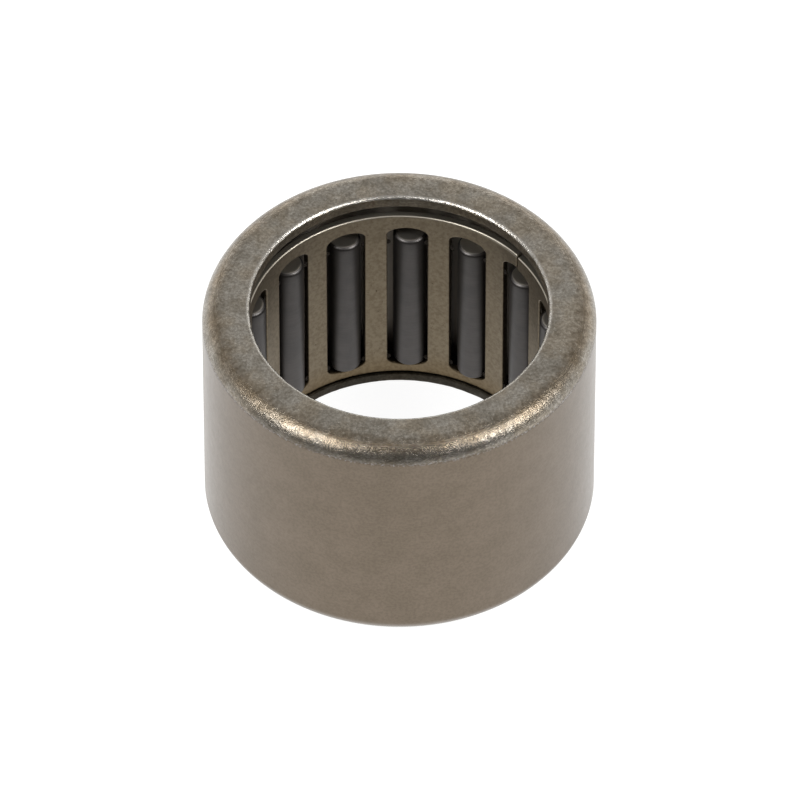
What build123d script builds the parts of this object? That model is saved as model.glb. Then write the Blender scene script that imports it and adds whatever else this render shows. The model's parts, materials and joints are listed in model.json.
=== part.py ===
from build123d import *
import os

# Drawn-cup needle roller bearing, open at both ends, in millimetres.
# The bearing's axis is +Z and it stands on its lower end face, at z = 0.

# Cup: a thin hard sleeve whose two ends are turned in as lips.
cup_diameter = 23.0
cup_width = 16.0
lip_thickness = 0.78
lip_bore_diameter = 17.37
outer_bend_radius = 1.35
inner_bend_radius = 0.25
lip_edge_radius = 0.3
lip_back_radius = 0.1

# Needle rollers: they stand between the shaft and the inside of the cup.
shaft_diameter = 17.0
roller_count = 15
roller_diameter = 2.0
roller_length = 10.8
roller_end_radius = 0.24
roller_bottom = 1.63
roller_lean = 0.12
running_clearance = 0.02

# Cage: one strip, pierced with windows, rolled round and left open at a butt joint.
cage_inner_radius = 8.86
cage_thickness = 0.45
cage_bottom = lip_thickness + running_clearance
cage_top = 14.24
cage_edge_radius = 0.08
joint_gap = 0.05
joint_angle = 38.9

# Windows: straight sides and shallow arched ends, one for each roller.
window_width = 2.36
window_bottom = 1.72
window_top = 12.93
window_arch = 0.28

# Retaining lugs: thin nibs on the window sides, narrower apart than a roller is thick.
lug_length = 0.4
lug_gap = 1.98
lug_inner_radius = 8.89
lug_outer_radius = 8.95
lug_inset = roller_end_radius

cup_radius = cup_diameter / 2
lip_bore_radius = lip_bore_diameter / 2
roller_radius = roller_diameter / 2
pitch_radius = shaft_diameter / 2 + roller_radius
raceway_radius = pitch_radius + roller_radius + running_clearance
cage_outer_radius = cage_inner_radius + cage_thickness
window_step = 360 / roller_count


def rounded_profile(corners, radii):
    """A closed outline in the XZ plane, with its own rounding at each corner."""
    points = [Vector(x, 0, z) for x, z in corners]
    wire = FilletPolyline(*points, radius=radii, close=True)
    return make_face(wire.edges())


def spin_profile(corners, radii):
    """Turn an outline drawn in the XZ plane round the bearing's axis."""
    return revolve(rounded_profile(corners, radii), Axis.Z, 360)


def drawn_cup():
    """The sleeve with its two inturned lips, as one drawn piece."""
    corners = [
        (lip_bore_radius, 0),
        (cup_radius, 0),
        (cup_radius, cup_width),
        (lip_bore_radius, cup_width),
        (lip_bore_radius, cup_width - lip_thickness),
        (raceway_radius, cup_width - lip_thickness),
        (raceway_radius, lip_thickness),
        (lip_bore_radius, lip_thickness),
    ]
    lip_end = [lip_edge_radius, lip_back_radius]
    bends = [outer_bend_radius, outer_bend_radius]
    inner_bends = [inner_bend_radius, inner_bend_radius]
    radii = [lip_end[0], *bends, *lip_end, *inner_bends, lip_end[1]]
    return spin_profile(corners, radii)


def lug_blocks():
    """The four nibs beside one roller, on a window that faces +X."""
    reach = window_width - lug_gap
    depth = lug_outer_radius - lug_inner_radius
    radius = (lug_inner_radius + lug_outer_radius) / 2
    side = lug_gap / 2 + reach / 2
    low = roller_bottom + lug_inset + lug_length / 2
    high = roller_bottom + roller_length - lug_inset - lug_length / 2
    places = [(radius, y, z) for y in (-side, side) for z in (low, high)]
    return [Pos(*place) * Box(depth, reach, lug_length) for place in places]


def window_cutter():
    """The air of one window that faces +X: arched ends, nibs left standing."""
    half = window_width / 2
    middle = (window_bottom + window_top) / 2
    right = Vector(half, window_bottom - middle)
    left = Vector(-half, window_bottom - middle)
    low = Vector(0, window_bottom - window_arch - middle)
    sides = Line(right, Vector(half, window_top - middle))
    top = ThreePointArc(sides @ 1, Vector(0, -low.Y), Vector(-half, -left.Y))
    back = Line(top @ 1, left)
    bottom = ThreePointArc(left, low, right)
    face = make_face([sides, top, back, bottom])
    wall = Plane(origin=(cage_inner_radius - 1, 0, middle), x_dir=(0, 1, 0), z_dir=(1, 0, 0))
    cutter = extrude(wall * face, amount=cage_thickness + 2)
    return cutter - lug_blocks()


def joint_cutter():
    """The narrow gap between the two ends of the strip, facing +X."""
    gap = Box(cage_thickness * 4, joint_gap, cup_width)
    return Pos(cage_inner_radius + cage_thickness / 2, 0, cup_width / 2) * gap


def cage():
    """The open strip cage with a window for each roller."""
    corners = [
        (cage_inner_radius, cage_bottom),
        (cage_outer_radius, cage_bottom),
        (cage_outer_radius, cage_top),
        (cage_inner_radius, cage_top),
    ]
    sleeve = spin_profile(corners, [cage_edge_radius] * len(corners))
    window = window_cutter()
    cutters = [Rot(0, 0, angle) * window for angle in window_angles()]
    cutters.append(Rot(0, 0, joint_angle) * joint_cutter())
    return sleeve - cutters


def window_angles():
    """The angle of each window from +X; the strip's joint is in the first."""
    return [joint_angle + window_step * index for index in range(roller_count)]


def needle_roller(angle):
    """One roller with rounded ends, lying against one side of the window at this angle."""
    half = Rot(90, 0, 0) * Rectangle(roller_radius, roller_length, align=(Align.MIN, Align.MIN))
    roller = revolve(half, Axis.Z, 360)
    ends = roller.edges().filter_by(GeomType.CIRCLE)
    roller = fillet(ends, roller_end_radius)
    return Rot(0, 0, angle) * Pos(pitch_radius, -roller_lean, roller_bottom) * roller


def write_node(name, shape):
    """Write one named piece to its own file."""
    shape.label = name
    export_step(shape, f"parts/{name}.step")


os.makedirs("parts", exist_ok=True)
write_node("drawn_cup", drawn_cup())
write_node("cage", cage())
for number, angle in enumerate(window_angles(), start=1):
    write_node(f"needle_roller_{number:02d}", needle_roller(angle))
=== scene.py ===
"""Looks for a drawn-cup needle roller bearing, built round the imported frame."""
import json
import math

import bpy
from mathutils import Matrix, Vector, noise


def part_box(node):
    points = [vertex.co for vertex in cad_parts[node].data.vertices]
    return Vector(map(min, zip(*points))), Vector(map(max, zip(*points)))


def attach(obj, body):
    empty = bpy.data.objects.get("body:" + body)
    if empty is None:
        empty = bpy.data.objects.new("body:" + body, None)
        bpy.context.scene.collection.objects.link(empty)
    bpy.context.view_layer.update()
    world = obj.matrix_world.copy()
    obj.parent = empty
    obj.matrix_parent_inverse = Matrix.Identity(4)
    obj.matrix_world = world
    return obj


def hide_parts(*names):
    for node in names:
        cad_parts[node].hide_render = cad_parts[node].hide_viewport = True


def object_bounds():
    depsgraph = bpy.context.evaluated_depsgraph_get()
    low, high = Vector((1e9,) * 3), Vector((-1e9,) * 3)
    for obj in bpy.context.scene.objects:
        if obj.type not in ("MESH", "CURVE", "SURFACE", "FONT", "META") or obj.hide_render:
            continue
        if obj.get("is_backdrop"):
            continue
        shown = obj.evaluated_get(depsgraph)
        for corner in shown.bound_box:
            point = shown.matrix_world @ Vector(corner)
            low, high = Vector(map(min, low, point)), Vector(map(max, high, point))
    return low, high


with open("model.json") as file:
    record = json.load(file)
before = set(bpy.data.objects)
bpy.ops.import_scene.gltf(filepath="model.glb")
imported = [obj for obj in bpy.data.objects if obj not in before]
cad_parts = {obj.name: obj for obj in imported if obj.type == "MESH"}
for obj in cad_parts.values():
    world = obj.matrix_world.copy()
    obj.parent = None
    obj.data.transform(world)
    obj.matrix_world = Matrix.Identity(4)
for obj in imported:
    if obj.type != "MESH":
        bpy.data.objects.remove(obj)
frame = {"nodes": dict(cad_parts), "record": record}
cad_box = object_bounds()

bl_info = {
    "name": "Needle roller bearing",
    "version": (1, 0, 0),
    "blender": (4, 5, 0),
    "location": "View3D > Sidebar > Bearing",
    "description": "Builds a drawn-cup needle roller bearing and a plain studio round it",
    "category": "Add Mesh",
}

MM = 0.001
ROLLER_NODES = sorted(name for name in frame["nodes"] if name.startswith("needle_roller"))


def node_span(node):
    """Lowest and highest corner of a CAD node, in millimetres."""
    low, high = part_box(node)
    return low / MM, high / MM


def mount_radius(name):
    """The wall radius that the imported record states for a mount, in millimetres."""
    mounts = frame["record"]["mounts"]
    return next(m["dims"]["r_mm"] for m in mounts if m["name"] == name)


def roller_centre(node):
    """The axis point of a roller, at half its height, in millimetres."""
    low, high = node_span(node)
    return (low + high) / 2


CAGE_LOW, CAGE_HIGH = node_span("cage")
ROLLER_LOW, ROLLER_HIGH = node_span(ROLLER_NODES[0])
FIRST_CENTRE = roller_centre(ROLLER_NODES[0])
FIRST_ANGLE = math.atan2(FIRST_CENTRE.y, FIRST_CENTRE.x)
PITCH_RADIUS = math.hypot(FIRST_CENTRE.x, FIRST_CENTRE.y)
ROLLER_RADIUS = (ROLLER_HIGH.x - ROLLER_LOW.x) / 2
CUP_BORE = mount_radius("shaft_bore")
CUP_RADIUS = mount_radius("housing_seat")
CUP_TOP = node_span("drawn_cup")[1].z
RUNNING_CLEARANCE = 0.02
CREASE = math.radians(42)
CUP_SIDES = 360
ROLLER_SIDES = 72


# ---------------------------------------------------------------- settings

def length(name, text, default):
    """A length in millimetres, for a property group."""
    return bpy.props.FloatProperty(name=name, description=text, default=default, min=0.0)


def colour(name, text, default):
    """A metal's own colour, for a property group."""
    return bpy.props.FloatVectorProperty(
        name=name, description=text, default=default, subtype="COLOR", min=0.0, max=1.0
    )


class BearingCupSettings(bpy.types.PropertyGroup):
    """Sizes and colours of the drawn cup."""

    bend: length("Outside bend", "Rounding between the sleeve and each lip, mm", 1.4)
    ground_depth: length("Ground depth", "How deep grinding has cut into the bends, mm", 0.03)
    inner_bend: length("Inside bend", "Rounding inside each bend, mm", 0.25)
    lip: length("Lip thickness", "Thickness of the two inturned lips, mm", 0.78)
    lip_edge: length("Lip edge", "Rounding of a lip's free edge on its outer face, mm", 0.3)
    lip_back: length("Lip back edge", "Rounding of a lip's free edge on its inner face, mm", 0.1)
    ground_foot: length("Ground foot", "Where the ground sleeve begins above the foot, mm", 0.35)
    edge_wander: length("Edge wander", "How far the lip edge wanders in and out, mm", 0.02)
    ground: colour("Ground steel", "Colour of the ground sleeve", (0.163, 0.129, 0.095))
    tumbled: colour("Tumbled steel", "Colour of the tumbled end faces", (0.362, 0.339, 0.303))


class BearingCageSettings(bpy.types.PropertyGroup):
    """Sizes and colours of the window cage."""

    thickness: length("Strip thickness", "Thickness of the cage's strip, mm", 0.45)
    window_width: length("Window width", "Width of a roller window, mm", 2.36)
    lean: length("Roller lean", "How far a roller lies to one side of its window, mm", 0.12)
    window_low: length("Window foot", "Height of a window's lower corners, mm", 1.72)
    window_high: length("Window head", "Height of a window's upper corners, mm", 12.93)
    arch: length("Window arch", "How far a window's ends arch past its corners, mm", 0.28)
    corner: length("Corner rounding", "How far a window's corners are rounded off, mm", 0.16)
    edge: length("Edge rounding", "Rounding of the strip's edges, mm", 0.08)
    joint_gap: length("Joint gap", "Gap between the two ends of the strip, mm", 0.05)
    joint_step: length("Joint step", "How much higher one end's upper rim stands, mm", 0.14)
    nib_gap: length("Nib gap", "Between the two nibs that face each other, mm", 1.98)
    nib_length: length("Nib length", "Height of a nib along the strip, mm", 0.4)
    nib_inset: length("Nib inset", "From a roller's end to the nib, mm", 0.24)
    nib_depth: length("Nib depth", "From the strip's inner face to a nib's middle, mm", 0.06)
    nib_thickness: length("Nib thickness", "Thickness of a nib, mm", 0.06)
    # Painted shade: the nibs are coloured dark so that they look shaded.
    nib_shade_colour: colour("Sheared steel", "Colour of the nibs", (0.05, 0.043, 0.036))
    # Painted shade: the cage steel is darkened to stand in for the shade inside the cup.
    steel: colour("Cage steel", "Colour of the hardened strip", (0.2, 0.164, 0.113))


class BearingRollerSettings(bpy.types.PropertyGroup):
    """Sizes and colours of the needle rollers."""

    end: length("End rounding", "Rounding of a roller's ends, mm", 0.24)
    # Painted light and shade: the roller steel is darkened as painted shade, and the flat ends keep
    # a lighter, lit copy of it.
    lit_end_face: colour("End face", "Colour of a roller's flat ends", (0.29, 0.27, 0.24))
    steel: colour("Roller steel", "Colour of the lapped rollers", (0.096, 0.09, 0.087))


class BearingStageSettings(bpy.types.PropertyGroup):
    """The plain studio round the bearing."""

    elevation: bpy.props.FloatProperty(
        name="Camera elevation", description="Height of the camera above the horizon",
        default=math.radians(47.5), subtype="ANGLE",
    )
    distance: bpy.props.FloatProperty(
        name="Camera distance", description="From the camera to the bearing, m",
        default=0.736, min=0.1, subtype="DISTANCE",
    )
    lens: bpy.props.FloatProperty(
        name="Lens", description="Focal length of the camera, mm", default=564.2, min=1.0
    )
    floor: colour("Floor", "Colour of the studio floor", (0.25, 0.25, 0.25))
    glow: bpy.props.FloatProperty(
        name="Floor glow", description="Light given off by the lit floor", default=0.93
    )
    key: bpy.props.FloatProperty(
        name="Side lights", description="Power of each of the two side lights, W", default=1.6
    )


# ---------------------------------------------------------------- shader maths

class Wire:
    """An output socket of a node; arithmetic on it adds Math nodes."""

    def __init__(self, net, socket):
        self.net = net
        self.socket = socket

    def maths(self, operation, first, second):
        """One Math node on values."""
        return self.net.add("ShaderNodeMath", {"operation": operation}, {0: first, 1: second})

    def __add__(self, other):
        return self.maths("ADD", self, other)

    def __radd__(self, other):
        return self.maths("ADD", other, self)

    def __sub__(self, other):
        return self.maths("SUBTRACT", self, other)

    def __rsub__(self, other):
        return self.maths("SUBTRACT", other, self)

    def __mul__(self, other):
        return self.maths("MULTIPLY", self, other)

    def __rmul__(self, other):
        return self.maths("MULTIPLY", other, self)


class Net:
    """A node tree that nodes are added to by type, settings and inputs."""

    FIRST_COLOUR, SECOND_COLOUR, MIXED_COLOUR = 6, 7, 2

    def __init__(self, tree):
        self.tree = tree
        tree.nodes.clear()

    def add(self, kind, settings=None, inputs=None, output=0):
        """Add a node, set it up, feed its sockets and return one of its outputs."""
        node = self.tree.nodes.new(kind)
        for name, value in (settings or {}).items():
            setattr(node, name, value)
        for key, value in (inputs or {}).items():
            self.feed(node.inputs[key], value)
        return Wire(self, node.outputs[output]) if node.outputs else node

    def feed(self, socket, value):
        """Link a wire to a socket, or set the socket's own value."""
        if isinstance(value, Wire):
            self.tree.links.new(value.socket, socket)
        else:
            socket.default_value = value

    def place(self):
        """The piece's own coordinates, in millimetres."""
        own = self.add("ShaderNodeTexCoord", output="Object")
        return self.add("ShaderNodeVectorMath", {"operation": "SCALE"}, {0: own, "Scale": 1 / MM})

    def axis(self, place, letter):
        """One coordinate of a place."""
        return self.add("ShaderNodeSeparateXYZ", {}, {0: place}, "XYZ".index(letter))

    def stretched(self, place, x, y, z):
        """A place scaled by its own factor along each axis."""
        return self.add("ShaderNodeVectorMath", {"operation": "MULTIPLY"}, {0: place, 1: (x, y, z)})

    def grain(self, place, scale, detail, rough):
        """Noise from 0 to 1, with this many cycles to the millimetre."""
        inputs = {"Vector": place, "Scale": scale, "Detail": detail, "Roughness": rough}
        return self.add("ShaderNodeTexNoise", {}, inputs)

    def pits(self, place, scale):
        """Distance to the nearest of scattered points, for pits and dents."""
        return self.add("ShaderNodeTexVoronoi", {}, {"Vector": place, "Scale": scale})

    def step(self, value, low, high):
        """0 below low, 1 above high and a smooth rise between."""
        settings = {"interpolation_type": "SMOOTHSTEP"}
        return self.add("ShaderNodeMapRange", settings, {0: value, 1: low, 2: high})

    def band(self, value, low, low_full, high_full, high):
        """1 between two levels and 0 outside them, with a smooth rise and fall."""
        return self.step(value, low, low_full) * (1 - self.step(value, high_full, high))

    def mixed(self, share, first, second, way):
        """Two colours mixed in one of the ways of the Mix node."""
        settings = {"data_type": "RGBA", "blend_type": way}
        inputs = {0: share, self.FIRST_COLOUR: first, self.SECOND_COLOUR: second}
        return self.add("ShaderNodeMix", settings, inputs, self.MIXED_COLOUR)

    def blend(self, share, first, second):
        """A colour between two others."""
        return self.mixed(share, first, second, "MIX")

    def tinted(self, base, tint, share):
        """A colour multiplied by a tint, by a share."""
        return self.mixed(share, base, tint, "MULTIPLY")

    def bump(self, height, depth, below=None):
        """Relief from a height from 0 to 1, this many millimetres deep."""
        inputs = {"Distance": depth * MM, "Height": height}
        if below is not None:
            inputs["Normal"] = below
        return self.add("ShaderNodeBump", {}, inputs)

    def metal(self, inputs):
        """Finish the tree with a metal surface."""
        settings = {"Metallic": 1.0}
        settings.update(inputs)
        shader = self.add("ShaderNodeBsdfPrincipled", {}, settings)
        self.add("ShaderNodeOutputMaterial", {}, {"Surface": shader})


def opaque(value):
    """A colour property as a shader colour."""
    return (*value, 1.0)


def new_material(name):
    """An empty material and its net."""
    material = bpy.data.materials.new(name)
    material.use_nodes = True
    return material, Net(material.node_tree)


# ---------------------------------------------------------------- finishes

# Tints, which darken or warm the colour under them.
SLEEVE_BLOTCH = (0.9, 0.9, 0.88, 1.0)
SLEEVE_GRIT = (0.86, 0.85, 0.84, 1.0)
END_MOTTLE = (0.76, 0.74, 0.71, 1.0)
END_GRIT = (0.72, 0.71, 0.69, 1.0)
END_CLOUD = (0.8, 0.79, 0.77, 1.0)
END_WARMTH = (1.0, 0.95, 0.88, 1.0)
# Brown tint on the bend, partly a real tint and partly painted shade.
BEND_BROWN_AND_SHADE = (0.63, 0.58, 0.52, 1.0)
# Painted shade along the top of the ground sleeve.
RIM_SHADE = (0.74, 0.71, 0.68, 1.0)
LOWER_LIP_SHADE = (0.15, 0.14, 0.12, 1.0)
UPPER_WALL_SHADE = (0.56, 0.52, 0.45, 1.0)
CAGE_MOTTLE = (0.78, 0.76, 0.74, 1.0)
# Painted warm reflection on the lower part of the cage.
CAGE_WARM_REFLECTION = (0.88, 0.81, 0.69, 1.0)
CAGE_PIT = (0.45, 0.4, 0.34, 1.0)
NIB_MOTTLE = (0.7, 0.68, 0.66, 1.0)
ROLLER_CLOUD = (0.92, 0.93, 0.94, 1.0)
ROLLER_RING = (0.95, 0.94, 0.93, 1.0)
BOARD_CLOUD = (0.99, 0.99, 0.99, 1.0)

# Steels, which cover the colour under them.
BRIGHT_SPECK = (0.6, 0.59, 0.56, 1.0)
NICKED_EDGE = (0.36, 0.35, 0.345, 1.0)
BURNISHED_LIP = (0.46, 0.44, 0.41, 1.0)
RACEWAY_STEEL = (0.28, 0.25, 0.21, 1.0)
BURNISHED_RIM = (0.62, 0.58, 0.5, 1.0)


class CupZones:
    """Where the cup's finishes begin and end, as masks from 0 to 1."""

    WALL = 0.6  # halfway through the cup's wall, from the outside
    RACEWAY_FOOT = (0.9, 1.2)
    RACEWAY_HEAD = (CUP_TOP - 2.4, CUP_TOP - 2.0)
    LIP_FACE = (CUP_TOP - 0.2, CUP_TOP - 0.12)
    SOFT = 0.03  # half the width of the ground sleeve's edge

    def __init__(self, net, place, settings):
        self.net = net
        self.height = net.axis(place, "Z")
        flat = net.stretched(place, 1, 1, 0)
        self.radius = net.add("ShaderNodeVectorMath", {"operation": "LENGTH"}, {0: flat}, 1)
        self.ragged = (net.grain(place, 4.0, 5.0, 0.7) - 0.5) * 0.175
        self.bend = settings.bend
        break_turn = math.acos(1 - settings.ground_depth / settings.bend)
        ground_top = CUP_TOP - settings.bend * (1 - math.sin(break_turn))
        self.above_sleeve = self.height + self.ragged - ground_top
        self.below_sleeve = settings.ground_foot - self.height + self.ragged
        wall = CUP_RADIUS - self.WALL
        self.outside = net.step(self.radius, wall, wall + 0.1)
        self.inside = 1 - net.step(self.radius, wall - 0.2, wall)

    def ground(self):
        """The ground sleeve."""
        not_above = 1 - self.net.step(self.above_sleeve, -self.SOFT, self.SOFT)
        not_below = 1 - self.net.step(self.below_sleeve, -self.SOFT, self.SOFT)
        return self.outside * not_above * not_below

    def sleeve_rim(self):
        """A narrow row along the top of the ground sleeve."""
        return self.net.band(self.above_sleeve, -0.16, -0.05, 0.04, 0.14) * self.outside

    def upper_bend(self, mottle):
        """The rounding of the bend, with a frayed edge towards the lip."""
        frayed = self.radius + (mottle - 0.5) * 0.8
        bend = self.bend
        begins = self.net.step(frayed, CUP_RADIUS - bend * 1.1, CUP_RADIUS - bend * 0.45)
        ends = self.net.step(self.radius, CUP_RADIUS - bend * 0.36, CUP_RADIUS - bend * 0.1)
        return begins * (1 - ends * 0.85)

    def lip_edge(self):
        """The free edge of the upper lip, on its outer face."""
        near_bore = 1 - self.net.step(self.radius + self.ragged, CUP_BORE + 0.16, CUP_BORE + 0.3)
        return near_bore * self.net.step(self.height, *self.LIP_FACE)

    def lower_lip(self):
        """The lower lip's inner side and the foot of the raceway."""
        return self.inside * self.net.band(self.height, 0.1, 0.2, *self.RACEWAY_FOOT)

    def raceway(self):
        """The track of the rollers."""
        return self.inside * self.net.band(self.height, *self.RACEWAY_FOOT, *self.RACEWAY_HEAD)

    def upper_wall(self):
        """The wall above the raceway and the upper lip's inner side."""
        return self.inside * self.net.band(self.height, *self.RACEWAY_HEAD, *self.LIP_FACE)

    def tumbled(self, ground):
        """The faces with dents: the ends, the bends and the lips, but not the wall inside."""
        below_lip = 1 - self.net.step(self.height, CUP_TOP - 0.8, CUP_TOP - 0.75)
        return (1 - ground) * (1 - self.inside * below_lip)


def sleeve_colour(net, settings, blotch, scratched):
    """Ground steel with faint blotches and fine grinding marks."""
    blotched = net.tinted(opaque(settings.ground), SLEEVE_BLOTCH, net.step(blotch, 0.35, 0.7))
    return net.tinted(blotched, SLEEVE_GRIT, net.step(scratched, 0.4, 0.62))


def end_colour(net, place, settings, blotch, mottle, grit, fine):
    """Tumbled steel: clouds, grit and bright specks."""
    mottled = net.tinted(opaque(settings.tumbled), END_MOTTLE, net.step(mottle, 0.38, 0.68))
    gritty = net.tinted(mottled, END_GRIT, net.step(grit, 0.4, 0.6))
    cloud = net.grain(place, 0.9, 3.0, 0.5)
    clouded = net.tinted(gritty, END_CLOUD, net.step(cloud, 0.42, 0.6))
    warm = net.tinted(clouded, END_WARMTH, net.step(blotch, 0.4, 0.65))
    return net.blend(net.step(fine, 0.58, 0.72) * 0.6, warm, BRIGHT_SPECK)


def cup_finish(settings):
    """Ground sleeve between tumbled, finely dented ends, and a dull wall inside darkened by painted
    shade.
    """
    material, net = new_material("drawn_cup_steel")
    place = net.place()
    zones = CupZones(net, place, settings)
    blotch = net.grain(place, 0.55, 4.0, 0.55)
    mottle = net.grain(place, 3.2, 6.0, 0.62)
    grit = net.grain(place, 6.0, 4.0, 0.6)
    fine = net.grain(place, 8.5, 4.0, 0.7)
    lapped = net.grain(net.stretched(place, 1.2, 1.2, 14.0), 1.0, 3.0, 0.6)
    ground, raceway = zones.ground(), zones.raceway()
    lower_lip, upper_wall = zones.lower_lip(), zones.upper_wall()

    sleeve = sleeve_colour(net, settings, blotch, grit * 0.8 + lapped * 0.2)
    end = end_colour(net, place, settings, blotch, mottle, grit, fine)
    # The rounding of the bend gets a brown tint that also darkens it as painted shade.
    browned_and_shaded = net.tinted(end, BEND_BROWN_AND_SHADE, zones.upper_bend(mottle))
    outside = net.blend(ground, browned_and_shaded, sleeve)
    rim = zones.sleeve_rim()
    # Painted shade: the row along the top of the ground sleeve is darkened as if it lay in shade.
    rim_shaded = net.tinted(outside, RIM_SHADE, rim)
    nicked = net.blend(rim * net.step(fine, 0.5, 0.6) * 0.6, rim_shaded, NICKED_EDGE)
    worn = zones.lip_edge() * (0.3 + net.step(grit, 0.4, 0.56) * 0.6)
    burnished = net.blend(worn, nicked, BURNISHED_LIP)
    # Painted shade on the lower lip's inner side and on the wall above the raceway.
    shaded_low = net.tinted(burnished, LOWER_LIP_SHADE, lower_lip)
    shaded_high = net.tinted(shaded_low, UPPER_WALL_SHADE, upper_wall)
    colour_here = net.blend(raceway, shaded_high, RACEWAY_STEEL)

    rough_sleeve = 0.28 + net.grain(place, 2.0, 4.0, 0.6) * 0.12
    rough_ends = 0.15 + mottle * 0.18
    dull_inside = (lower_lip + upper_wall + raceway) * 0.32
    roughness = ground * rough_sleeve + (1 - ground) * rough_ends + dull_inside

    dents = mottle * 0.28 + fine * 0.6 + net.pits(place, 3.4) * 0.12
    grinding = net.bump(lapped * ground, 0.003)
    relief = net.bump(dents * zones.tumbled(ground), 0.042, grinding)
    net.metal({
        "Base Color": colour_here, "Roughness": roughness, "Normal": relief,
        "Coat Weight": ground * 0.28, "Coat Roughness": 0.2,
    })
    return material


def cage_finish(settings):
    """Satin hardened strip with small pits, darkened by painted shade, with a painted warm
    reflection low down.
    """
    material, net = new_material("cage_strip_steel")
    place = net.place()
    height = net.axis(place, "Z")
    cloud = net.grain(place, 0.8, 4.0, 0.6)
    mottle = net.grain(place, 4.5, 5.0, 0.6)
    drawn = net.grain(net.stretched(place, 1.5, 1.5, 9.0), 1.0, 4.0, 0.6)
    pits = net.step(net.grain(place, 7.0, 2.0, 0.5), 0.68, 0.76)
    mottled = net.tinted(opaque(settings.steel), CAGE_MOTTLE, net.step(mottle, 0.38, 0.66))
    # Painted reflection: a warm tint low on the strip stands in for a warm reflection on the lower
    # rim.
    warm = net.tinted(mottled, CAGE_WARM_REFLECTION, 1 - net.step(height + cloud, 1.2, 3.6))
    pitted = net.tinted(warm, CAGE_PIT, pits)
    rim = net.step(height, CAGE_HIGH.z - 0.1, CAGE_HIGH.z - 0.04)
    burnished = net.blend(rim * 0.6, pitted, BURNISHED_RIM)
    roughness = 0.34 + mottle * 0.14 + cloud * 0.06
    relief = net.bump(drawn * 0.4 + mottle * 0.4 + (1 - pits) * 0.2, 0.016)
    net.metal({"Base Color": burnished, "Roughness": roughness, "Normal": relief})
    return material


def nib_finish(settings):
    """Nib steel coloured dark as painted shade, so the nibs look shaded in their gaps."""
    material, net = new_material("cage_nib_steel")
    cloud = net.grain(net.place(), 9.0, 3.0, 0.6)
    base = net.tinted(opaque(settings.nib_shade_colour), NIB_MOTTLE, net.step(cloud, 0.4, 0.6))
    relief = net.bump(cloud, 0.01)
    net.metal({"Base Color": base, "Roughness": 0.75 + cloud * 0.2, "Normal": relief})
    return material


def roller_finish(settings):
    """Lapped steel with fine rings of grinding round each roller, its sides darkened by painted
    shade and its flat ends lighter.
    """
    material, net = new_material("needle_roller_steel")
    place = net.place()
    rings = net.grain(net.stretched(place, 0.6, 0.6, 16.0), 1.0, 3.0, 0.6)
    cloud = net.grain(place, 1.1, 4.0, 0.6)
    fine = net.grain(place, 10.0, 3.0, 0.6)
    clouded = net.tinted(opaque(settings.steel), ROLLER_CLOUD, net.step(cloud, 0.38, 0.66))
    ringed = net.tinted(clouded, ROLLER_RING, net.step(rings, 0.42, 0.6))
    middle = (ROLLER_LOW.z + ROLLER_HIGH.z) / 2
    half = ROLLER_HIGH.z - middle
    along = net.axis(place, "Z") - middle
    from_middle = net.add("ShaderNodeMath", {"operation": "ABSOLUTE"}, {0: along})
    # The flat ends take the lighter, lit copy of the roller steel; the sides carry the painted
    # shade.
    end = net.step(from_middle, half - 0.03, half - 0.01)
    faced = net.blend(end, ringed, opaque(settings.lit_end_face))
    relief = net.bump(rings * 0.7 + fine * 0.3, 0.0003)
    net.metal({"Base Color": faced, "Roughness": 0.4 + cloud * 0.08, "Normal": relief})
    return material


def floor_finish(settings):
    """A lit white board with a barely visible tooth, darker far out in front."""
    material, net = new_material("studio_board")
    place = net.place()
    ahead = net.axis(place, "Y") * -1 - net.axis(place, "X") * 0.45
    cloud = net.grain(place, 0.02, 3.0, 0.5)
    tooth = net.grain(place, 3.0, 3.0, 0.5)
    base = net.tinted(opaque(settings.floor), BOARD_CLOUD, cloud)
    lit = 1 - net.step(ahead, 27, 56) * 0.94
    shader = net.add("ShaderNodeBsdfPrincipled", {}, {
        "Base Color": base, "Roughness": 0.9, "Normal": net.bump(tooth, 0.01),
        "Emission Color": lit, "Emission Strength": settings.glow,
    })
    net.add("ShaderNodeOutputMaterial", {}, {"Surface": shader})
    return material


# ---------------------------------------------------------------- meshes

def new_piece(name, points, faces, material):
    """A mesh object from points in millimetres, smooth except at sharp edges."""
    mesh = bpy.data.meshes.new(name)
    mesh.from_pydata([Vector(p) * MM for p in points], [], faces)
    mesh.update()
    mesh.shade_smooth()
    mesh.set_sharp_from_angle(angle=CREASE)
    mesh.materials.append(material)
    piece = bpy.data.objects.new(name, mesh)
    bpy.context.scene.collection.objects.link(piece)
    return piece


def rounded_outline(corners, radii, arc_steps, longest):
    """Points of a closed outline with rounded corners and short straight steps."""
    outline = []
    count = len(corners)
    for index, radius in enumerate(radii):
        corner = Vector(corners[index])
        back = (Vector(corners[index - 1]) - corner).normalized()
        ahead = (Vector(corners[(index + 1) % count]) - corner).normalized()
        half = back.angle(ahead) / 2
        inward = (back + ahead).normalized()
        centre = corner + inward * radius / math.sin(half)
        start = corner + back * radius / math.tan(half) - centre
        end = corner + ahead * radius / math.tan(half) - centre
        sweep = start.angle(end)
        for step in range(arc_steps + 1):
            share = step / arc_steps
            near = math.sin((1 - share) * sweep) / math.sin(sweep)
            far = math.sin(share * sweep) / math.sin(sweep)
            outline.append(centre + start * near + end * far)
    return divided(outline, longest)


def divided(outline, longest):
    """The same closed outline with no step longer than this."""
    finer = []
    for index, point in enumerate(outline):
        following = outline[(index + 1) % len(outline)]
        parts = max(1, math.ceil((following - point).length / longest))
        finer.extend(point.lerp(following, part / parts) for part in range(parts))
    return finer


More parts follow.
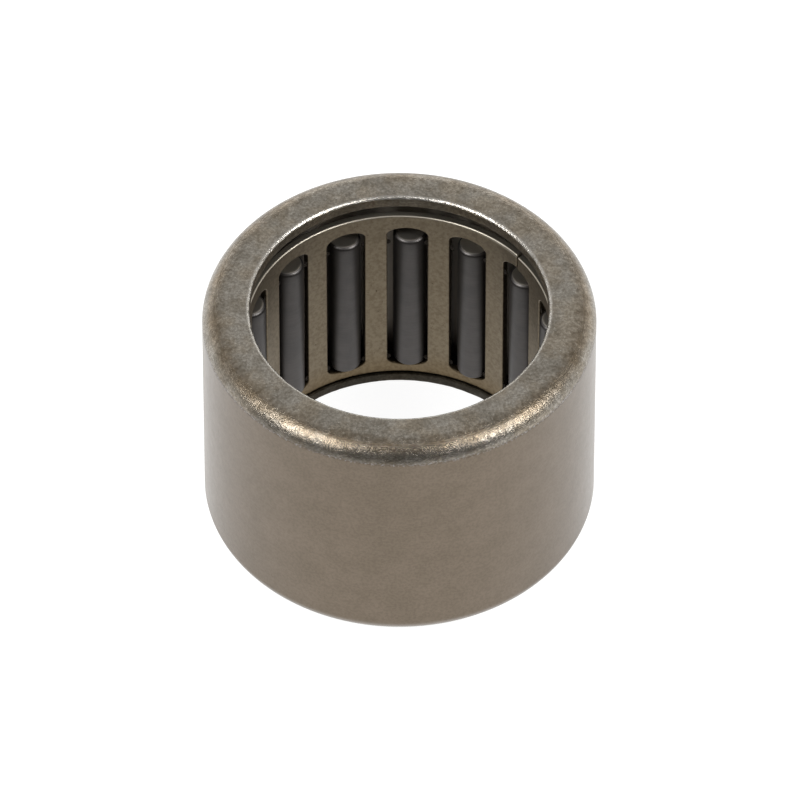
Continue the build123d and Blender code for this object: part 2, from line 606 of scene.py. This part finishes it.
def turned(outline, sides, wander):
    """Points and faces of a closed outline turned round the axis, each point moved by wander."""
    rows = len(outline)
    points = []
    for side in range(sides):
        turn = math.tau * side / sides
        for radius, height in outline:
            point = Vector((radius * math.cos(turn), radius * math.sin(turn), height))
            points.append(wander(point))
    faces = []
    for side in range(sides):
        here = side * rows
        there = (side + 1) % sides * rows
        for row in range(rows):
            above = (row + 1) % rows
            faces.append((here + row, there + row, there + above, here + above))
    return points, faces


# ---------------------------------------------------------------- pieces

def cup_outline(settings):
    """The cup's section, as (radius, height) from the lower lip round to the raceway."""
    proud = CUP_RADIUS + settings.ground_depth
    raceway = PITCH_RADIUS + ROLLER_RADIUS + RUNNING_CLEARANCE
    under_lip = CUP_TOP - settings.lip
    corners = [
        (CUP_BORE, 0), (proud, 0), (proud, CUP_TOP), (CUP_BORE, CUP_TOP),
        (CUP_BORE, under_lip), (raceway, under_lip),
        (raceway, settings.lip), (CUP_BORE, settings.lip),
    ]
    outer = [settings.lip_edge, settings.bend, settings.bend, settings.lip_edge]
    inner = [settings.lip_back, settings.inner_bend, settings.inner_bend, settings.lip_back]
    section = rounded_outline(corners, outer + inner, arc_steps=16, longest=0.5)
    return [Vector((min(radius, CUP_RADIUS), height)) for radius, height in section]


def build_cup(settings):
    """The drawn cup, with lip edges that wander a little."""
    reach = 0.4

    def wander(point):
        """Push a point in or out, less and less towards this reach from the bore."""
        radius = math.hypot(point.x, point.y)
        near_lip = max(0.0, 1 - (radius - CUP_BORE) / reach)
        drift = noise.noise(point * 0.9) * 0.5 + noise.noise(point * 3.0)
        push = 1 + near_lip * settings.edge_wander * (1 + drift) / radius
        return Vector((point.x * push, point.y * push, point.z))

    points, faces = turned(cup_outline(settings), CUP_SIDES, wander)
    cup = new_piece("cup_shell", points, faces, cup_finish(settings))
    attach(cup, "cup")
    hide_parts("drawn_cup")


class CageSheet:
    """The cage's strip as a grid of columns round the axis and rows up the strip."""

    WINDOW_COLUMNS = 18
    BAR_COLUMNS = 6
    RIM_ROWS = 4
    BAR_ROWS = 40
    STEP_FADE = math.radians(50)  # how far round the cage the joint's step reaches
    CORNER_POWER = 10  # a higher power keeps the rounding closer to a window's corner

    def __init__(self, settings, count):
        self.settings = settings
        self.count = count
        self.outer = CAGE_HIGH.x
        self.inner = self.outer - settings.thickness
        self.half = math.asin(settings.window_width / 2 / self.inner)
        self.pitch = math.tau / count
        self.joint = FIRST_ANGLE + math.asin(settings.lean / PITCH_RADIUS)
        self.columns = self.column_angles()
        self.rows = 2 * self.RIM_ROWS + self.BAR_ROWS

    def column_angles(self):
        """Angle and window share of each column, from one end of the strip to the other."""
        gap = self.settings.joint_gap / 2 / self.inner
        across = [self.eased(step / self.WINDOW_COLUMNS) for step in range(self.WINDOW_COLUMNS + 1)]
        bar = self.pitch - 2 * self.half
        columns = []
        for index in range(self.count + 1):
            middle = index * self.pitch
            shares = across
            if index == 0:
                shares = [s for s in shares if s * self.half > gap * 1.5]
                columns.append((gap, gap / self.half))
            if index == self.count:
                shares = [s for s in shares if s * self.half < -gap * 1.5]
            columns.extend((middle + s * self.half, s) for s in shares)
            if index == self.count:
                columns.append((middle - gap, -gap / self.half))
                break
            for step in range(1, self.BAR_COLUMNS):
                columns.append((middle + self.half + bar * step / self.BAR_COLUMNS, None))
        return columns

    @staticmethod
    def eased(share):
        """Columns crowd towards the sides of a window, from -1 to 1."""
        return -math.cos(math.pi * share)

    def window_end(self, share):
        """How far a window's end stands past its corner level, at this share of its width."""
        if share is None:
            return 0.0
        bulge = self.settings.arch * (1 - share ** 2)
        return bulge - self.settings.corner * abs(share) ** self.CORNER_POWER

    def height(self, column, row):
        """The height of a grid point."""
        share = self.columns[column][1]
        past = self.window_end(share)
        low = self.settings.window_low - past
        high = self.settings.window_high + past
        if row <= self.RIM_ROWS:
            return CAGE_LOW.z + (low - CAGE_LOW.z) * row / self.RIM_ROWS
        if row >= self.rows - self.RIM_ROWS:
            return CAGE_HIGH.z - (CAGE_HIGH.z - high) * (self.rows - row) / self.RIM_ROWS
        return low + (high - low) * (row - self.RIM_ROWS) / self.BAR_ROWS

    def lifted(self, angle, height):
        """The height with the step at the joint, which fades away round the cage."""
        near = max(0.0, 1 - angle / self.STEP_FADE) ** 2
        middle = (CAGE_LOW.z + CAGE_HIGH.z) / 2
        upper = max(0.0, (height - middle) / (CAGE_HIGH.z - middle))
        return height + self.settings.joint_step * near * upper ** 2

    def open_cell(self, column, row):
        """True where a cell of the grid is window."""
        first, second = self.columns[column][1], self.columns[column + 1][1]
        between = self.RIM_ROWS <= row < self.rows - self.RIM_ROWS
        return between and first is not None and second is not None

    def point(self, column, row, radius):
        """A grid point on the inner or the outer face."""
        angle = self.columns[column][0]
        height = self.lifted(angle, self.height(column, row))
        turn = self.joint + angle
        return Vector((radius * math.cos(turn), radius * math.sin(turn), height))

    def build(self):
        """Points and faces of the whole strip, as one closed skin."""
        cells = {
            (column, row)
            for column in range(len(self.columns) - 1) for row in range(self.rows)
            if not self.open_cell(column, row)
        }
        number = {}
        points = []

        def vertex(column, row, face):
            key = (column, row, face)
            if key not in number:
                number[key] = len(points)
                points.append(self.point(column, row, (self.inner, self.outer)[face]))
            return number[key]

        faces = []
        for column, row in sorted(cells):
            ring = [(column, row), (column + 1, row), (column + 1, row + 1), (column, row + 1)]
            faces.append([vertex(*spot, 1) for spot in ring])
            faces.append([vertex(*spot, 0) for spot in reversed(ring)])
            beside = [(column, row - 1), (column + 1, row), (column, row + 1), (column - 1, row)]
            for side, other in enumerate(beside):
                if other not in cells:
                    a, b = ring[side], ring[(side + 1) % 4]
                    faces.append([vertex(*a, 0), vertex(*b, 0), vertex(*b, 1), vertex(*a, 1)])
        return points, faces


def build_cage(settings):
    """The window cage with rounded edges and an open, slightly stepped joint."""
    sheet = CageSheet(settings, len(ROLLER_NODES))
    points, faces = sheet.build()
    cage = new_piece("window_cage", points, faces, cage_finish(settings))
    bevel = cage.modifiers.new("rounded_edges", "BEVEL")
    bevel.width = settings.edge * MM
    bevel.segments = 3
    bevel.limit_method = "ANGLE"
    bevel.angle_limit = math.radians(60)
    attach(cage, "cage")
    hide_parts("cage")


def build_nibs(settings):
    """The thin nibs on the window sides that keep the rollers in."""
    sheet = CageSheet(settings, len(ROLLER_NODES))
    half_gap = settings.nib_gap / 2
    reach = settings.window_width / 2 - half_gap
    radius = sheet.inner + settings.nib_depth
    tall = settings.nib_length / 2
    low = ROLLER_LOW.z + settings.nib_inset + tall
    high = ROLLER_HIGH.z - settings.nib_inset - tall
    points, faces = [], []
    for index in range(sheet.count):
        turn = sheet.joint + index * sheet.pitch
        out = Vector((math.cos(turn), math.sin(turn), 0))
        along = Vector((-math.sin(turn), math.cos(turn), 0))
        for side in (-1, 1):
            for height in (low, high):
                middle = out * radius + along * side * (half_gap + reach) + Vector((0, 0, height))
                axes = (along * reach, out * settings.nib_thickness / 2, Vector((0, 0, tall)))
                add_lens(points, faces, middle, axes)
    nibs = new_piece("cage_nibs", points, faces, nib_finish(settings))
    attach(nibs, "cage")
    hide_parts("cage")


def add_lens(points, faces, middle, axes, rings=8, sides=12):
    """Add a closed, flattened egg shape with these three half axes."""
    first = len(points)
    for ring in range(1, rings):
        tilt = math.pi * ring / rings
        for side in range(sides):
            turn = math.tau * side / sides
            flat = axes[0] * math.cos(turn) + axes[1] * math.sin(turn)
            points.append(middle + flat * math.sin(tilt) + axes[2] * math.cos(tilt))
    for ring in range(rings - 2):
        for side in range(sides):
            here = first + ring * sides + side
            beside = first + ring * sides + (side + 1) % sides
            faces.append((here, here + sides, beside + sides, beside))
    last = first + (rings - 2) * sides
    for start, height in ((first, 1), (last, -1)):
        hub = len(points)
        points.append(middle + axes[2] * height)
        for side in range(sides):
            edge = (start + side, start + (side + 1) % sides)
            faces.append((hub, *edge) if height > 0 else (hub, *reversed(edge)))


def roller_outline(settings):
    """A roller's section from its axis to its side, lowest first."""
    half = (ROLLER_HIGH.z - ROLLER_LOW.z) / 2
    crown = 0.002  # how much thinner the side is at its ends than in the middle
    arc_steps = 8
    side_steps = 12
    flat = ROLLER_RADIUS - settings.end
    lower = [(flat * share, -half) for share in (0.35, 0.7, 0.95)]
    for step in range(arc_steps + 1):
        turn = math.pi / 2 * step / arc_steps
        radius = flat + settings.end * math.sin(turn)
        lower.append((radius, -half + settings.end * (1 - math.cos(turn))))
    side = half - settings.end
    for step in range(1, side_steps):
        height = -side + side * step / side_steps
        lower.append((ROLLER_RADIUS - crown * (height / side) ** 4, height))
    upper = [(radius, -height) for radius, height in reversed(lower)]
    return lower + [(ROLLER_RADIUS, 0)] + upper


def build_roller(node, material, settings):
    """One needle roller, turned about its own axis."""
    centre = roller_centre(node)
    outline = roller_outline(settings)
    points = []
    for side in range(ROLLER_SIDES):
        turn = math.tau * side / ROLLER_SIDES
        for radius, height in outline:
            from_centre = Vector((radius * math.cos(turn), radius * math.sin(turn), height))
            points.append(centre + from_centre)
    rows = len(outline)
    faces = []
    for side in range(ROLLER_SIDES):
        here = side * rows
        there = (side + 1) % ROLLER_SIDES * rows
        for row in range(rows - 1):
            faces.append((here + row, there + row, there + row + 1, here + row + 1))
    for row, height in ((0, -1), (rows - 1, 1)):
        hub = len(points)
        points.append(centre + Vector((0, 0, outline[row][1])))
        for side in range(ROLLER_SIDES):
            edge = (side * rows + row, (side + 1) % ROLLER_SIDES * rows + row)
            faces.append((hub, *edge) if height > 0 else (hub, *reversed(edge)))
    roller = new_piece(node.replace("needle_roller", "needle"), points, faces, material)
    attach(roller, node.replace("needle_roller", "roller"))
    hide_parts(node)


# ---------------------------------------------------------------- studio

FLOOR_HALF = 2500  # mm, from the middle to an edge
AIM = (0.04, 0, CUP_TOP / 2 - 0.07)  # mm, where the camera looks
LIGHT_SIZE = (0.13, 0.2)  # m
LIGHT_PLACES = {"left": (-0.29, -0.19, 0.32), "right": (0.32, -0.16, 0.32)}  # m


def soft_light(name, place, size, power):
    """A soft light that faces the bearing."""
    lamp = bpy.data.lights.new(name, "AREA")
    lamp.shape = "RECTANGLE"
    lamp.size, lamp.size_y = size
    lamp.energy = power
    light = bpy.data.objects.new(name, lamp)
    light.location = place
    light.rotation_euler = (-Vector(place)).to_track_quat("-Z", "Y").to_euler()
    bpy.context.scene.collection.objects.link(light)


def studio_air():
    """A pale surround, bright low down behind and dark low down in front."""
    world = bpy.data.worlds.new("studio_air")
    world.use_nodes = True
    bpy.context.scene.world = world
    net = Net(world.node_tree)
    toward = net.add("ShaderNodeTexCoord", output="Generated")
    ahead = net.axis(toward, "Y")
    up = net.axis(toward, "Z")
    front = net.step(ahead * -1, -0.2, 0.55)
    back = net.step(ahead, 0.1, 0.7)
    low = 1 - net.step(up, 0.15, 0.5)
    horizon = 1 - net.step(up, 0.08, 0.32)
    strength = 0.75 + back * horizon * 2.2 - front * 0.47 - front * low * 0.16
    inputs = {"Color": (1.0, 0.99, 0.97, 1.0), "Strength": strength}
    sky = net.add("ShaderNodeBackground", {}, inputs)
    net.add("ShaderNodeOutputWorld", {}, {"Surface": sky})


def studio_floor(settings):
    """A wide pale board under the bearing."""
    half = FLOOR_HALF
    corners = [(-half, -half, 0), (half, -half, 0), (half, half, 0), (-half, half, 0)]
    board = new_piece("studio_floor", corners, [(0, 1, 2, 3)], floor_finish(settings))
    board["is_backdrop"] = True


def studio_camera(settings):
    """The camera, looking down at the middle of the bearing."""
    lens = bpy.data.cameras.new("studio_camera")
    lens.lens = settings.lens
    lens.clip_start = 0.01
    target = Vector(AIM) * MM
    away = Vector((0, -math.cos(settings.elevation), math.sin(settings.elevation)))
    camera = bpy.data.objects.new("studio_camera", lens)
    camera.location = target + away * settings.distance
    camera.rotation_euler = (-away).to_track_quat("-Z", "Y").to_euler()
    bpy.context.scene.collection.objects.link(camera)
    bpy.context.scene.camera = camera


def build_studio(settings):
    """Floor, surround, soft lights and camera."""
    bpy.context.scene.view_settings.view_transform = "Standard"
    studio_air()
    studio_floor(settings)
    for side, place in LIGHT_PLACES.items():
        soft_light(f"{side}_light", place, LIGHT_SIZE, settings.key)
    studio_camera(settings)


# ---------------------------------------------------------------- operators

class BEARING_OT_studio(bpy.types.Operator):
    """Build the floor, the lights and the camera"""

    bl_idname = "bearing.studio"
    bl_label = "Studio"

    def execute(self, context):
        build_studio(context.scene.bearing_stage)
        return {"FINISHED"}


class BEARING_OT_cup(bpy.types.Operator):
    """Build the drawn cup with its two lips"""

    bl_idname = "bearing.cup"
    bl_label = "Drawn cup"

    def execute(self, context):
        build_cup(context.scene.bearing_cup)
        return {"FINISHED"}


class BEARING_OT_cage(bpy.types.Operator):
    """Build the window cage and its nibs"""

    bl_idname = "bearing.cage"
    bl_label = "Window cage"

    def execute(self, context):
        build_cage(context.scene.bearing_cage)
        build_nibs(context.scene.bearing_cage)
        return {"FINISHED"}


class BEARING_OT_rollers(bpy.types.Operator):
    """Build the needle rollers"""

    bl_idname = "bearing.rollers"
    bl_label = "Needle rollers"

    def execute(self, context):
        settings = context.scene.bearing_roller
        material = roller_finish(settings)
        for node in ROLLER_NODES:
            build_roller(node, material, settings)
        return {"FINISHED"}


class BEARING_PT_panel(bpy.types.Panel):
    """Lists the bearing's settings and the steps that build it"""

    bl_idname = "BEARING_PT_panel"
    bl_label = "Needle roller bearing"
    bl_space_type = "VIEW_3D"
    bl_region_type = "UI"
    bl_category = "Bearing"

    def draw(self, context):
        for step, group in STEPS:
            settings = getattr(context.scene, group)
            box = self.layout.box()
            box.operator(step)
            for name in settings.__annotations__:
                box.prop(settings, name)


GROUPS = {
    "bearing_stage": BearingStageSettings,
    "bearing_cup": BearingCupSettings,
    "bearing_cage": BearingCageSettings,
    "bearing_roller": BearingRollerSettings,
}
STEPS = (
    ("bearing.studio", "bearing_stage"),
    ("bearing.cup", "bearing_cup"),
    ("bearing.cage", "bearing_cage"),
    ("bearing.rollers", "bearing_roller"),
)
OPERATORS = (BEARING_OT_studio, BEARING_OT_cup, BEARING_OT_cage, BEARING_OT_rollers)


def register():
    """Register the settings, the operators and the panel."""
    for name, group in GROUPS.items():
        bpy.utils.register_class(group)
        setattr(bpy.types.Scene, name, bpy.props.PointerProperty(type=group))
    for operator in OPERATORS:
        bpy.utils.register_class(operator)
    bpy.utils.register_class(BEARING_PT_panel)


def unregister():
    """Take everything out again."""
    bpy.utils.unregister_class(BEARING_PT_panel)
    for operator in reversed(OPERATORS):
        bpy.utils.unregister_class(operator)
    for name, group in GROUPS.items():
        delattr(bpy.types.Scene, name)
        bpy.utils.unregister_class(group)


def main():
    """Build everything and work out how large it came out."""
    register()
    bpy.ops.bearing.studio()
    bpy.ops.bearing.cup()
    bpy.ops.bearing.cage()
    bpy.ops.bearing.rollers()
    boxes = {"cad": cad_box, "visual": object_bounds()}
    plain = {name: [list(corner) for corner in box] for name, box in boxes.items()}


if __name__ == "__main__":
    main()
